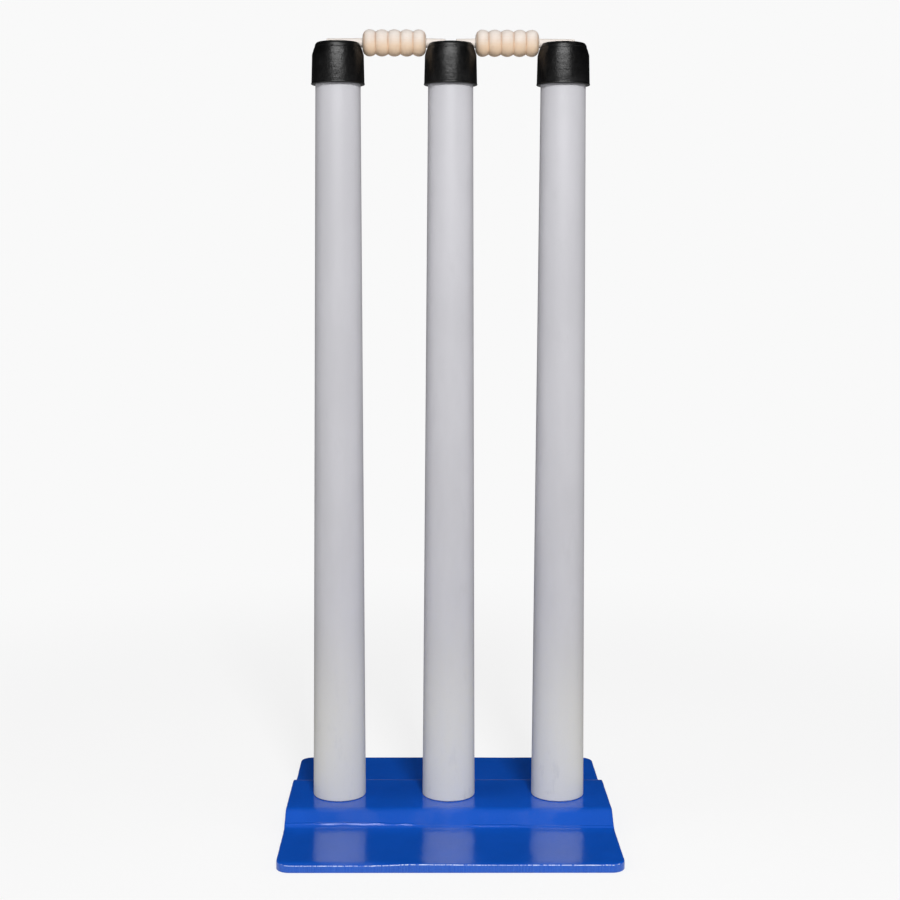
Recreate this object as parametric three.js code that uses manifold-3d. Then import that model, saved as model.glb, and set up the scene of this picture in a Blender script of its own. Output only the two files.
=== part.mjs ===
// Free-standing cricket stumps for hard ground.
// Three tapered plastic stumps slide over steel pegs, which are bolted to a bent steel base plate.
// Each stump ends in a rubber cap, and two turned bails lie in the grooves across the caps.
// Millimetres, +Z up. The stumps stand in a row along X, and the front of the base faces -Y.

import * as THREE from 'three';
import { mergeVertices } from 'three/addons/utils/BufferGeometryUtils.js';
import Module from 'manifold-3d';

const wasm = await Module();
wasm.setup();

// Whole set
const totalHeight = 711;
const stumpPitch = 101.6;

// Base plate, one piece of steel with a raised plateau between two flanges
const baseWidth = 297;
const baseDepth = 295;
const plateThickness = 8;
const plateauRise = 11.5;
const plateauDepth = 84;
const rampDepth = 18.5;
const bendRadius = 9;
const cornerRadius = 12;

// Peg that a stump slides over
const pegDiameter = 25.4;
const pegHeight = 90;
const pegLeadIn = 4;
const tappedDepth = 24;

// Bolt, spring washer and plain washer below the plateau
const boltDiameter = 8;
const boltHeadAcrossFlats = 13;
const boltHeadHeight = 5.3;
const boltHeadChamfer = 0.8;
const boltReach = 20;
const boltTipChamfer = 1;
const springWasherDiameter = 14.8;
const springWasherThickness = 2;
const springWasherSplit = 1.6;
const springWasherSplitAngle = THREE.MathUtils.degToRad(25);
const plainWasherDiameter = 16;
const plainWasherThickness = 1.6;

// Stump tube, hollow and tapered
const tubeFootDiameter = 48.6;
const tubeTopDiameter = 40.4;
const tubeWall = 3;
const tubeRimRadius = 1.2;

// Moulded bush in the foot of the tube
const bushHeight = 64;
const bushRecess = 1;
const bushWall = 2.5;
const bushFloor = 3;
const bushRibThickness = 2.2;
const bushRibDrop = 4;
const bushRibCount = 6;
const bushLeadIn = 1.5;

// Rubber cap
const capHeight = 37.5;
const capFootDiameter = 47.8;
const capShoulderDiameter = 46.6;
const capShoulderDrop = 11;
const capShoulderLean = 1.8;
const capCrownDrop = 5;
const capCrownReach = 3.6;
const capRoof = 8;
const capLipHeight = 1.6;
const capLipProud = 0.3;
const capLeadIn = 1;
const grooveDraft = 0.3;
const grooveMouthChamfer = 0.8;

// Bail, turned from one piece of wood
const bailBeadCount = 5;
const bailBeadPitch = 11.2;
const bailBarrelLength = 57.2;
const bailBeadDiameter = 24;
const bailValleyDiameter = 19.8;
const bailEndDiameter = 11;
const bailSpigotDiameter = 8.4;
const bailSpigotTipDiameter = 7.6;
const bailLongSpigot = 32.4;
const bailShortSpigot = 17.4;
const bailTipChamfer = 0.8;

// Fits
const staticFit = 0.3;
const slidingFit = 0.4;
const grooveFit = 0.3;
const boltHoleFit = 0.5;
const cutOverrun = 5;
const weldTolerance = 1e-4;

// Facets
const tubeSides = 40;
const smallSides = 24;
const bailSides = 24;
const bendSteps = 3;
const cornerSteps = 4;
const shoulderSteps = 3;
const beadSteps = 2;
const rimSteps = 1;

// Heights that several pieces share
const plateauTop = plateThickness + plateauRise;
const tubeTop = totalHeight - capRoof;
const capFoot = totalHeight - capHeight;
const bailAxis = totalHeight;

const materials = {
  paintedSteel: () => finish('#1149a8', 0.28, 0.1),
  platedSteel: () => finish('#b4b7ba', 0.35, 1),
  stumpPlastic: () => finish('#bfc0c4', 0.5, 0),
  bushPlastic: () => finish('#2b2d30', 0.6, 0),
  capRubber: () => finish('#1b1b1d', 0.6, 0),
  turnedWood: () => finish('#e2cbb0', 0.6, 0),
};

function finish(color, roughness, metalness) {
  return new THREE.MeshStandardMaterial({ color, roughness, metalness });
}

// A closed geometry as a solid that can be cut and joined
function toSolid(geometry) {
  geometry.deleteAttribute('normal');
  geometry.deleteAttribute('uv');
  const welded = mergeVertices(geometry, weldTolerance);
  const index = welded.index.array;
  const kept = [];
  for (let i = 0; i < index.length; i += 3) {
    const [a, b, c] = [index[i], index[i + 1], index[i + 2]];
    if (a !== b && b !== c && c !== a) {
      kept.push(a, b, c);
    }
  }
  const vertProperties = new Float32Array(welded.attributes.position.array);
  return new wasm.Manifold(new wasm.Mesh({ numProp: 3, vertProperties, triVerts: new Uint32Array(kept) }));
}

// A solid back as a geometry with flat facets
function toGeometry(solid) {
  const { vertProperties, triVerts } = solid.getMesh();
  const geometry = new THREE.BufferGeometry();
  geometry.setAttribute('position', new THREE.BufferAttribute(vertProperties, 3));
  geometry.setIndex(new THREE.BufferAttribute(triVerts, 1));
  geometry.computeVertexNormals();
  return geometry;
}

// A profile of radius and height turned round the Z axis
function turned(profile, sides) {
  return new THREE.LatheGeometry(profile, sides).rotateX(Math.PI / 2);
}

function point(x, y) {
  return new THREE.Vector2(x, y);
}

// A plain pin along Z between two heights
function pin(radius, bottom, top, sides) {
  return turned([point(0, bottom), point(radius, bottom), point(radius, top), point(0, top)], sides);
}

// A ring along Z between two heights
function ring(innerRadius, outerRadius, bottom, top, sides) {
  const start = point(innerRadius, bottom);
  return turned([start, point(outerRadius, bottom), point(outerRadius, top), point(innerRadius, top), start], sides);
}

// Rounds the corner between two lines of an outline with an arc
function roundCorner(path, before, corner, after, radius) {
  const arriving = corner.clone().sub(before).normalize();
  const leaving = after.clone().sub(corner).normalize();
  const turn = Math.atan2(arriving.cross(leaving), arriving.dot(leaving));
  const reach = radius * Math.tan(Math.abs(turn) / 2);
  const start = corner.clone().addScaledVector(arriving, -reach);
  const centre = point(-arriving.y, arriving.x).multiplyScalar(radius * Math.sign(turn)).add(start);
  const angle = Math.atan2(start.y - centre.y, start.x - centre.x);
  path.absarc(centre.x, centre.y, radius, angle, angle + turn, turn < 0);
}

// Base plate: the bent section along X, cut to its rounded plan and drilled for the bolts
function plateSection() {
  const rampAngle = Math.atan2(plateauRise, rampDepth);
  const undersideShift = plateThickness * Math.tan(rampAngle / 2);
  const outerBend = bendRadius + plateThickness;
  const edge = plateauDepth / 2;
  const foot = edge + rampDepth;
  const top = [
    point(baseDepth / 2, plateThickness),
    point(foot, plateThickness),
    point(edge, plateauTop),
    point(-edge, plateauTop),
    point(-foot, plateThickness),
    point(-baseDepth / 2, plateThickness),
  ];
  const under = [
    point(-baseDepth / 2, 0),
    point(-foot + undersideShift, 0),
    point(-edge + undersideShift, plateauRise),
    point(edge - undersideShift, plateauRise),
    point(foot - undersideShift, 0),
    point(baseDepth / 2, 0),
  ];
  const section = new THREE.Shape();
  section.moveTo(under[5].x, under[5].y);
  section.lineTo(top[0].x, top[0].y);
  roundCorner(section, top[0], top[1], top[2], bendRadius);
  roundCorner(section, top[1], top[2], top[3], outerBend);
  roundCorner(section, top[2], top[3], top[4], outerBend);
  roundCorner(section, top[3], top[4], top[5], bendRadius);
  section.lineTo(top[5].x, top[5].y);
  section.lineTo(under[0].x, under[0].y);
  roundCorner(section, under[0], under[1], under[2], outerBend);
  roundCorner(section, under[1], under[2], under[3], bendRadius);
  roundCorner(section, under[2], under[3], under[4], bendRadius);
  roundCorner(section, under[3], under[4], under[5], outerBend);
  section.closePath();
  return section;
}

function platePlan() {
  const corners = [
    point(-baseWidth / 2, -baseDepth / 2),
    point(baseWidth / 2, -baseDepth / 2),
    point(baseWidth / 2, baseDepth / 2),
    point(-baseWidth / 2, baseDepth / 2),
  ];
  const plan = new THREE.Shape();
  plan.moveTo(0, corners[0].y);
  plan.lineTo(corners[1].x - cornerRadius, corners[1].y);
  for (let i = 1; i <= corners.length; i += 1) {
    const [before, corner, after] = [i - 1, i, i + 1].map((k) => corners[k % corners.length]);
    roundCorner(plan, before, corner, after, cornerRadius);
  }
  plan.closePath();
  return plan;
}

function basePlate() {
  const bent = new THREE.ExtrudeGeometry(plateSection(), {
    depth: baseWidth,
    bevelEnabled: false,
    curveSegments: bendSteps,
  });
  bent.translate(0, 0, -baseWidth / 2).rotateX(Math.PI / 2).rotateZ(Math.PI / 2);
  const outline = new THREE.ExtrudeGeometry(platePlan(), {
    depth: plateauTop + 2 * cutOverrun,
    bevelEnabled: false,
    curveSegments: cornerSteps,
  });
  outline.translate(0, 0, -cutOverrun);
  let plate = toSolid(bent).intersect(toSolid(outline));
  for (const x of stumpPlaces()) {
    const hole = pin(boltDiameter / 2 + boltHoleFit, 0, plateauTop + cutOverrun, smallSides);
    plate = plate.subtract(toSolid(hole.translate(x, 0, 0)));
  }
  return toGeometry(plate);
}

// The three stumps, left, middle and right as seen from the front
function stumpPlaces() {
  return [-stumpPitch, 0, stumpPitch];
}

// Peg: a turned bar with a tapped hole in its foot and a lead-in at its head
function peg() {
  const radius = pegDiameter / 2;
  const hole = boltDiameter / 2 + staticFit;
  const head = plateauTop + pegHeight;
  const drillTip = plateauTop + tappedDepth;
  return turned([
    point(0, drillTip + hole * Math.tan(Math.PI / 6)),
    point(hole, drillTip),
    point(hole, plateauTop),
    point(radius, plateauTop),
    point(radius, head - pegLeadIn),
    point(radius - pegLeadIn / 4, head - pegLeadIn / 2),
    point(radius - pegLeadIn, head),
    point(0, head),
  ], smallSides);
}

// Bolt: a hexagon head with a chamfered face, and its shank
function pegBolt() {
  const face = plateauRise - plainWasherThickness - springWasherThickness;
  const bottom = face - boltHeadHeight;
  const cornerReach = boltHeadAcrossFlats / 2 / Math.cos(Math.PI / 6);
  const hexagon = new THREE.CylinderGeometry(cornerReach, cornerReach, boltHeadHeight, 6);
  hexagon.rotateX(Math.PI / 2).translate(0, 0, bottom + boltHeadHeight / 2);
  const chamferReach = boltHeadChamfer * Math.sqrt(3);
  const cone = turned([
    point(0, bottom),
    point(cornerReach - chamferReach, bottom),
    point(cornerReach, bottom + boltHeadChamfer),
    point(cornerReach + cutOverrun, bottom + boltHeadChamfer),
    point(cornerReach + cutOverrun, face + cutOverrun),
    point(0, face + cutOverrun),
  ], smallSides);
  const shankRadius = boltDiameter / 2;
  const tip = plateauTop + boltReach;
  const shank = turned([
    point(0, face - boltHeadHeight / 2),
    point(shankRadius, face - boltHeadHeight / 2),
    point(shankRadius, tip - boltTipChamfer),
    point(shankRadius - boltTipChamfer, tip),
    point(0, tip),
  ], smallSides);
  return toGeometry(toSolid(hexagon).intersect(toSolid(cone)).add(toSolid(shank)));
}

// Spring washer: a flattened ring with its slanted split
function springWasher() {
  const top = plateauRise - plainWasherThickness;
  const bottom = top - springWasherThickness;
  const hole = boltDiameter / 2 + staticFit;
  const whole = ring(hole, springWasherDiameter / 2, bottom, top, smallSides);
  const split = new THREE.BoxGeometry(springWasherDiameter, springWasherSplit, springWasherThickness + 2 * cutOverrun);
  split.rotateX(springWasherSplitAngle).translate(springWasherDiameter / 2, 0, (top + bottom) / 2);
  return toGeometry(toSolid(whole).subtract(toSolid(split)));
}

function plainWasher() {
  const hole = boltDiameter / 2 + staticFit;
  return ring(hole, plainWasherDiameter / 2, plateauRise - plainWasherThickness, plateauRise, smallSides);
}

// Outside of the tapered tube at a height
function tubeRadius(height) {
  const share = (height - plateauTop) / (tubeTop - plateauTop);
  return THREE.MathUtils.lerp(tubeFootDiameter, tubeTopDiameter, share) / 2;
}

// Stump tube: a tapered wall, open at both ends, with a rounded foot
function tube() {
  const path = new THREE.Path();
  const rimHeight = plateauTop + tubeRimRadius;
  path.moveTo(tubeRadius(plateauTop) - tubeWall, plateauTop);
  path.lineTo(tubeRadius(rimHeight) - tubeRimRadius, plateauTop);
  path.absarc(tubeRadius(rimHeight) - tubeRimRadius, rimHeight, tubeRimRadius, -Math.PI / 2, 0, false);
  path.lineTo(tubeRadius(tubeTop), tubeTop);
  path.lineTo(tubeRadius(tubeTop) - tubeWall, tubeTop);
  path.closePath();
  return turned(path.getPoints(rimSteps), tubeSides);
}

// Bush: an outer skin that fits the tube, a sleeve that fits the peg, and ribs between them
function bush() {
  const bottom = plateauTop + bushRecess;
  const top = bottom + bushHeight;
  const skin = (height) => tubeRadius(height) - tubeWall - staticFit;
  const bore = pegDiameter / 2 + slidingFit;
  const sleeve = bore + bushWall;
  const floor = bottom + bushFloor;
  const shell = turned([
    point(bore + bushLeadIn, bottom),
    point(skin(bottom), bottom),
    point(skin(top), top),
    point(skin(top) - bushWall, top),
    point(skin(floor) - bushWall, floor),
    point(sleeve, floor),
    point(sleeve, top),
    point(bore, top),
    point(bore, bottom + bushLeadIn),
    point(bore + bushLeadIn, bottom),
  ], tubeSides);
  const ribTop = top - bushRibDrop;
  const ribInner = sleeve - bushWall / 2;
  const ribOuter = skin(ribTop) - bushWall / 2;
  const ribBottom = floor - bushFloor / 2;
  let moulding = toSolid(shell);
  for (let i = 0; i < bushRibCount; i += 1) {
    const rib = new THREE.BoxGeometry(ribOuter - ribInner, bushRibThickness, ribTop - ribBottom);
    rib.translate((ribOuter + ribInner) / 2, 0, (ribTop + ribBottom) / 2);
    rib.rotateZ((i + 1 / 2) * 2 * Math.PI / bushRibCount);
    moulding = moulding.add(toSolid(rib));
  }
  return toGeometry(moulding);
}

// Groove across the cap, as a bar along X: a flat floor, walls with a moulder's draft and a chamfered mouth
function groove() {
  const floorReach = bailSpigotDiameter / 2 + grooveFit;
  const wallReach = floorReach + grooveDraft;
  const mouthReach = wallReach + grooveMouthChamfer;
  const section = new THREE.Shape([
    point(-floorReach, -floorReach),
    point(floorReach, -floorReach),
    point(wallReach, -grooveMouthChamfer),
    point(mouthReach, 0),
    point(mouthReach, cutOverrun),
    point(-mouthReach, cutOverrun),
    point(-mouthReach, 0),
    point(-wallReach, -grooveMouthChamfer),
  ]);
  const length = capFootDiameter + 2 * cutOverrun;
  const bar = new THREE.ExtrudeGeometry(section, { depth: length, bevelEnabled: false });
  bar.translate(0, 0, -length / 2).rotateX(Math.PI / 2).rotateZ(Math.PI / 2);
  return bar.translate(0, 0, bailAxis);
}

// Rubber cap: a cup with a small lip at its foot, a leaning shoulder, a round crown and its groove
function cap() {
  const bore = (height) => tubeRadius(height) + staticFit;
  const shoulderReach = capShoulderDiameter / 2;
  const crownFoot = shoulderReach - capShoulderLean;
  const path = new THREE.Path();
  path.moveTo(0, tubeTop);
  path.lineTo(bore(tubeTop), tubeTop);
  path.lineTo(bore(capFoot + capLeadIn), capFoot + capLeadIn);
  path.lineTo(bore(capFoot) + capLeadIn, capFoot);
  path.lineTo(capFootDiameter / 2 + capLipProud, capFoot);
  path.lineTo(capFootDiameter / 2 + capLipProud, capFoot + capLipHeight / 2);
  path.lineTo(capFootDiameter / 2, capFoot + capLipHeight);
  path.lineTo(shoulderReach, totalHeight - capShoulderDrop);
  path.lineTo(crownFoot, totalHeight - capCrownDrop);
  path.quadraticCurveTo(crownFoot - capCrownReach / 4, totalHeight, crownFoot - capCrownReach, totalHeight);
  path.lineTo(0, totalHeight);
  const cup = toSolid(turned(path.getPoints(shoulderSteps), tubeSides));
  return toGeometry(cup.subtract(toSolid(groove())));
}

// Bail: a row of round beads, the end ones a little longer, between a long and a short spigot
function bail(longSide) {
  const crest = bailBeadDiameter / 2;
  const valley = bailValleyDiameter / 2;
  const sag = crest - valley;
  const beadRadius = ((bailBeadPitch / 2) ** 2 + sag ** 2) / (2 * sag);
  const beadAngle = Math.asin(bailBeadPitch / 2 / beadRadius);
  const centre = crest - beadRadius;
  const end = bailEndDiameter / 2;
  const spigot = bailSpigotDiameter / 2;
  const tip = bailSpigotTipDiameter / 2;
  const halfBarrel = bailBarrelLength / 2;
  const lastBead = bailBeadPitch * (bailBeadCount - 1) / 2;
  const endReach = halfBarrel - lastBead;
  const outer = -halfBarrel - bailLongSpigot;
  const inner = halfBarrel + bailShortSpigot;
  const path = new THREE.Path();
  path.moveTo(0, outer);
  path.lineTo(tip - bailTipChamfer, outer);
  path.lineTo(tip, outer + bailTipChamfer);
  path.lineTo(spigot, -halfBarrel);
  path.lineTo(end, -halfBarrel);
  path.absellipse(end, -lastBead, crest - end, endReach, -Math.PI / 2, 0, false, 0);
  path.absarc(centre, -lastBead, beadRadius, 0, beadAngle, false);
  for (let i = 1; i < bailBeadCount - 1; i += 1) {
    path.absarc(centre, i * bailBeadPitch - lastBead, beadRadius, -beadAngle, beadAngle, false);
  }
  path.absarc(centre, lastBead, beadRadius, -beadAngle, 0, false);
  path.absellipse(end, lastBead, crest - end, endReach, 0, Math.PI / 2, false, 0);
  path.lineTo(spigot, halfBarrel);
  path.lineTo(tip, inner - bailTipChamfer);
  path.lineTo(tip - bailTipChamfer, inner);
  path.lineTo(0, inner);
  const wood = new THREE.LatheGeometry(path.getPoints(beadSteps), bailSides);
  wood.rotateZ(-Math.PI / 2);
  if (longSide > 0) {
    wood.rotateZ(Math.PI);
  }
  return wood;
}

function piece(name, geometry, material) {
  const mesh = new THREE.Mesh(geometry, material);
  mesh.name = name;
  return mesh;
}

// One stump with its peg and fastenings, built about its own axis
function stump(side) {
  const set = new THREE.Group();
  set.add(piece(`peg_${side}`, peg(), materials.platedSteel()));
  set.add(piece(`peg_bolt_${side}`, pegBolt(), materials.platedSteel()));
  set.add(piece(`spring_washer_${side}`, springWasher(), materials.platedSteel()));
  set.add(piece(`plain_washer_${side}`, plainWasher(), materials.platedSteel()));
  set.add(piece(`stump_tube_${side}`, tube(), materials.stumpPlastic()));
  set.add(piece(`stump_bush_${side}`, bush(), materials.bushPlastic()));
  set.add(piece(`stump_cap_${side}`, cap(), materials.capRubber()));
  return set;
}

const group = new THREE.Group();
group.add(piece('base_plate', basePlate(), materials.paintedSteel()));
['left', 'middle', 'right'].forEach((side, i) => {
  const set = stump(side);
  set.position.x = stumpPlaces()[i];
  group.add(set);
});
['left', 'right'].forEach((side, i) => {
  const longSide = i === 0 ? -1 : 1;
  const mesh = piece(`bail_${side}`, bail(longSide), materials.turnedWood());
  mesh.position.set(longSide * stumpPitch / 2, 0, bailAxis);
  group.add(mesh);
});

export default group;
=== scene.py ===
"""Free-standing cricket stumps: a steel base, plastic stumps with rubber caps, and wooden bails.

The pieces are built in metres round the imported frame, with +Z up and the front towards -Y.
"""

import math

import bmesh
import bpy
from mathutils import Matrix, Vector, noise


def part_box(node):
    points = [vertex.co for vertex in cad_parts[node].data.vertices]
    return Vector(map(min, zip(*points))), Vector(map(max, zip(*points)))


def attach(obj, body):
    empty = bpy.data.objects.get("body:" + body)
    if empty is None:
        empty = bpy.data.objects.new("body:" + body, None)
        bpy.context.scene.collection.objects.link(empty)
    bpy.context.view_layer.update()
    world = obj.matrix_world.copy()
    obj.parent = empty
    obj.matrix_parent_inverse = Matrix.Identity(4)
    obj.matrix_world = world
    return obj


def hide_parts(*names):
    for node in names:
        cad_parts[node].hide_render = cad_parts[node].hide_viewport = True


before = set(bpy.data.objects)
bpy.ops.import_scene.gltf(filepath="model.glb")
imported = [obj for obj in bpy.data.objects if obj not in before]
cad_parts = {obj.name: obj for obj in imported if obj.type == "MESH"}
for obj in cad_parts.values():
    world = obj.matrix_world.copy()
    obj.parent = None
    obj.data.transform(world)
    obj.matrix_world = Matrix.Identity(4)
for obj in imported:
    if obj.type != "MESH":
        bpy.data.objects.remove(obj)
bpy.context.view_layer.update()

bl_info = {
    "name": "Cricket Stumps",
    "version": (1, 0, 0),
    "blender": (4, 5, 0),
    "location": "View3D > Sidebar > Stumps",
    "description": "Builds free-standing cricket stumps with their bails",
    "category": "Object",
}

SIDES = ("left", "middle", "right")

PLATE_LOW, PLATE_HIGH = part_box("base_plate")
TUBE_LOW, TUBE_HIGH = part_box("stump_tube_middle")
CAP_LOW, CAP_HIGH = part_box("stump_cap_middle")
BUSH_LOW, BUSH_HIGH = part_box("stump_bush_middle")
PEG_LOW, PEG_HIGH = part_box("peg_middle")
BOLT_LOW, BOLT_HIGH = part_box("peg_bolt_middle")
SPRING_LOW, SPRING_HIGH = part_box("spring_washer_middle")
PLAIN_LOW, PLAIN_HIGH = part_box("plain_washer_middle")
BAIL_LOW, BAIL_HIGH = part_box("bail_left")

STUMP_X = {side: sum(c.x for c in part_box(f"stump_tube_{side}")) / 2 for side in SIDES}
PEG_RADIUS = (PEG_HIGH.x - PEG_LOW.x) / 2
CAP_RADIUS = (CAP_HIGH.x - CAP_LOW.x) / 2
BAIL_RADIUS = (BAIL_HIGH.z - BAIL_LOW.z) / 2
BAIL_HEIGHT = (BAIL_HIGH.z + BAIL_LOW.z) / 2
TUBE_FOOT_RADIUS = (TUBE_HIGH.x - TUBE_LOW.x) / 2
TUBE_TOP_RADIUS = max(
    Vector((v.co.x - STUMP_X["middle"], v.co.y)).length
    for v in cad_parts["stump_tube_middle"].data.vertices
    if v.co.z > TUBE_HIGH.z - 0.001
)


def linear(*display):
    """A colour as the shader takes it, from its 8-bit display values."""
    return tuple(
        v / 255 / 12.92 if v <= 10 else ((v / 255 + 0.055) / 1.055) ** 2.4 for v in display
    )


def tinted(shade, share, lift=0.0):
    """A colour with each of its parts times a share, plus a lift."""
    return tuple(v * share + lift for v in shade)


def amount(name, description, default, **kind):
    """A number among the settings, plain unless a unit or subtype is given."""
    return bpy.props.FloatProperty(name=name, description=description, default=default, **kind)


def length(name, description, default):
    return amount(name, description, default, unit="LENGTH")


def angle(name, description, degrees):
    return amount(name, description, math.radians(degrees), subtype="ANGLE")


def colour(name, description, default):
    return bpy.props.FloatVectorProperty(
        name=name, description=description, default=default, subtype="COLOR", size=3, min=0, max=1
    )


class StumpsBaseSettings(bpy.types.PropertyGroup):
    thickness: length("Plate thickness", "Thickness of the steel", 0.008)
    plateau_depth: length("Plateau depth", "Front to rear, between the sharp bends", 0.084)
    ramp_depth: length("Ramp depth", "Front to rear, between the plateau and a flange", 0.0185)
    bend_radius: length("Bend radius", "Inner radius of each bend", 0.009)
    corner_radius: length("Corner radius", "Radius of the corners in plan", 0.012)
    edge_radius: length("Edge radius", "Rounding of the upper edges under the paint", 0.0016)
    under_radius: length("Lower edge radius", "Rounding of the lower edges", 0.0006)
    bend_wander: length("Bend wander", "How far a bend strays from its straight line", 0.0013)
    bead_height: length("Paint bead", "Height of the bead along the front slope", 0.00115)
    bead_reach: length("Bead reach", "Half the width of that bead", 0.00095)
    bead_rise: length("Bead rise", "How far the bead lies behind the slope's foot", 0.0037)
    edge_wander: length("Edge wander", "How far the edge strays from its line", 0.00022)
    droop_reach: length("Droop reach", "How far back the worn front edge droops", 0.0036)
    sheet_wander: length("Sheet wander", "How far the painted faces stray from flat", 0.00016)
    bolt_hole: length("Bolt hole", "Diameter of the holes for the peg bolts", 0.009)
    paint: colour("Paint", "Blue enamel of the base", linear(11, 88, 203))


class StumpsFasteningSettings(bpy.types.PropertyGroup):
    peg_lead_in: length("Peg lead-in", "Height of the rounded head of the peg", 0.004)
    peg_hole: length("Peg hole", "Diameter of the tapped hole", 0.0086)
    shank: length("Bolt shank", "Outer diameter of the thread", 0.008)
    thread_pitch: length("Thread pitch", "Rise of the thread in one turn", 0.00125)
    head_height: length("Head height", "Height of the bolt's hexagon head", 0.0053)
    washer_hole: length("Washer hole", "Inner diameter of both washers", 0.0086)
    split: length("Washer split", "Width of the spring washer's split", 0.0016)
    steel: colour("Zinc plate", "Plated steel of pegs and fastenings", linear(196, 198, 201))


class StumpsTubeSettings(bpy.types.PropertyGroup):
    wall: length("Wall", "Wall of the tube", 0.003)
    foot_radius: length("Foot radius", "Rounding of the tube's foot", 0.0012)
    plastic: colour("Plastic", "Light grey of the tubes", linear(205, 204, 209))
    # Painted light: a paler, warmer colour near the foot stands in for light from below.
    foot_painted_light: colour("Foot", "Paler and warmer near the foot", linear(232, 230, 221))


class StumpsBushSettings(bpy.types.PropertyGroup):
    wall: length("Wall", "Wall of the skin and the sleeve", 0.0025)
    floor: length("Floor", "Thickness of the bush's floor", 0.003)
    rib: length("Rib", "Thickness of each rib", 0.0022)
    rib_drop: length("Rib drop", "How far the ribs stop below the top", 0.004)
    rib_count: bpy.props.IntProperty(name="Ribs", description="Ribs round the sleeve", default=6)
    running_fit: length("Running fit", "Gap all round the peg", 0.0004)
    static_fit: length("Static fit", "Gap all round inside the tube", 0.0003)
    plastic: colour("Plastic", "Dark moulding of the bush", linear(43, 45, 48))


class StumpsCapSettings(bpy.types.PropertyGroup):
    roof: length("Roof", "Thickness of the cap above the tube", 0.008)
    lip_height: length("Lip height", "Height of the lip at the foot", 0.0016)
    lip_proud: length("Lip proud", "How far the lip stands out", 0.0003)
    shoulder_diameter: length("Shoulder diameter", "Across it where it starts to lean in", 0.0466)
    shoulder_drop: length("Shoulder drop", "From the top to where it starts to lean in", 0.011)
    shoulder_lean: length("Shoulder lean", "How far it leans in below the crown", 0.0018)
    crown_drop: length("Crown drop", "Height of the round crown", 0.005)
    crown_reach: length("Crown reach", "How far the round crown reaches in", 0.0036)
    crease_depth: length("Crease depth", "Depth of the crease below the crown", 0.0003)
    crease_drop: length("Crease drop", "From the top down to that crease", 0.0046)
    groove_reach: length("Groove reach", "Depth of the groove and half its floor's width", 0.0045)
    groove_draft: length("Groove draft", "How far each wall of the groove leans out", 0.0003)
    groove_edge: length("Groove edge", "Rounding of the groove's edges", 0.0009)
    rubber: colour("Rubber", "Black of the caps", linear(6, 6, 6.5))


class StumpsBailSettings(bpy.types.PropertyGroup):
    barrel_length: length("Barrel length", "Length of the beaded barrel", 0.0572)
    bead_count: bpy.props.IntProperty(name="Beads", description="Beads on a barrel", default=5)
    bead_pitch: length("Bead pitch", "From bead to bead", 0.0112)
    valley_diameter: length("Valley diameter", "Across the creases between the beads", 0.0198)
    end_diameter: length("End diameter", "Across the flat ends of the barrel", 0.011)
    spigot_diameter: length("Spigot diameter", "At the barrel", 0.0084)
    tip_diameter: length("Tip diameter", "At the tips of the spigots", 0.0076)
    long_spigot: length("Long spigot", "Length of the spigot on the outer stump", 0.0324)
    wood: colour("Wood", "Pale turned hardwood", linear(226, 213, 200))
    grain: colour("Grain", "Darker lines of the grain", linear(205, 163, 124))
    # Painted light on the upper faces; also the paler colour of the spigots.
    top_light_and_pale_spigots: colour("Bleached", "Paler wood on top and on the spigots", linear(237, 229, 222))


class StumpsStageSettings(bpy.types.PropertyGroup):
    backdrop: colour("Backdrop", "Pale floor and surround", linear(249, 249, 249))
    ambient: amount("Ambient", "Strength of the plain light from front and sides", 0.3)
    rear_ambient: amount("Rear ambient", "Strength of the plain light from behind", 0.13)
    floor_size: length("Floor size", "Width of the floor", 60.0)
    shadow_reach: length("Shadow reach", "How far out the floor still shows shadows", 1.2)
    shadow_share: amount("Shadow share", "How much of the floor's light shows shadows", 0.22)
    floor_bounce: amount("Floor bounce", "How much light the floor sends back", 0.3)
    floor_light: amount("Floor light", "Light on the open floor, taken off its glow", 0.72)
    rear_reflection: amount("Rear reflection", "How pale the rear is in reflections", 0.2)
    focal_share: amount("Focal length", "Share of the frame's width", 1.7832)
    camera_x: length("Camera X", "Place of the camera along the row", -0.0204)
    camera_distance: length("Camera distance", "From the row to the camera", 1.4658)
    camera_height: length("Camera height", "Height of the camera", 0.5132)
    camera_pitch: angle("Camera pitch", "Downward tilt", 4.58)
    camera_turn: angle("Camera turn", "Turn towards +X", 0.495)
    camera_roll: angle("Camera roll", "Roll to the left", 0.147)
    shift_x: amount("Shift X", "Lens shift across, as a share of the frame", 0.0097)
    shift_y: amount("Shift Y", "Lens shift up, as a share of the frame", -0.0644)


class Value:
    """A socket of a node tree. Operators on it add Math nodes, with numbers on either side."""

    def __init__(self, graph, socket):
        self.graph = graph
        self.socket = socket

    def __add__(self, other):
        return self.graph.maths("ADD", self, other)

    def __sub__(self, other):
        return self.graph.maths("SUBTRACT", self, other)

    def __rsub__(self, other):
        return self.graph.maths("SUBTRACT", other, self)

    def __mul__(self, other):
        return self.graph.maths("MULTIPLY", self, other)

    __radd__ = __add__
    __rmul__ = __mul__


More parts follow.
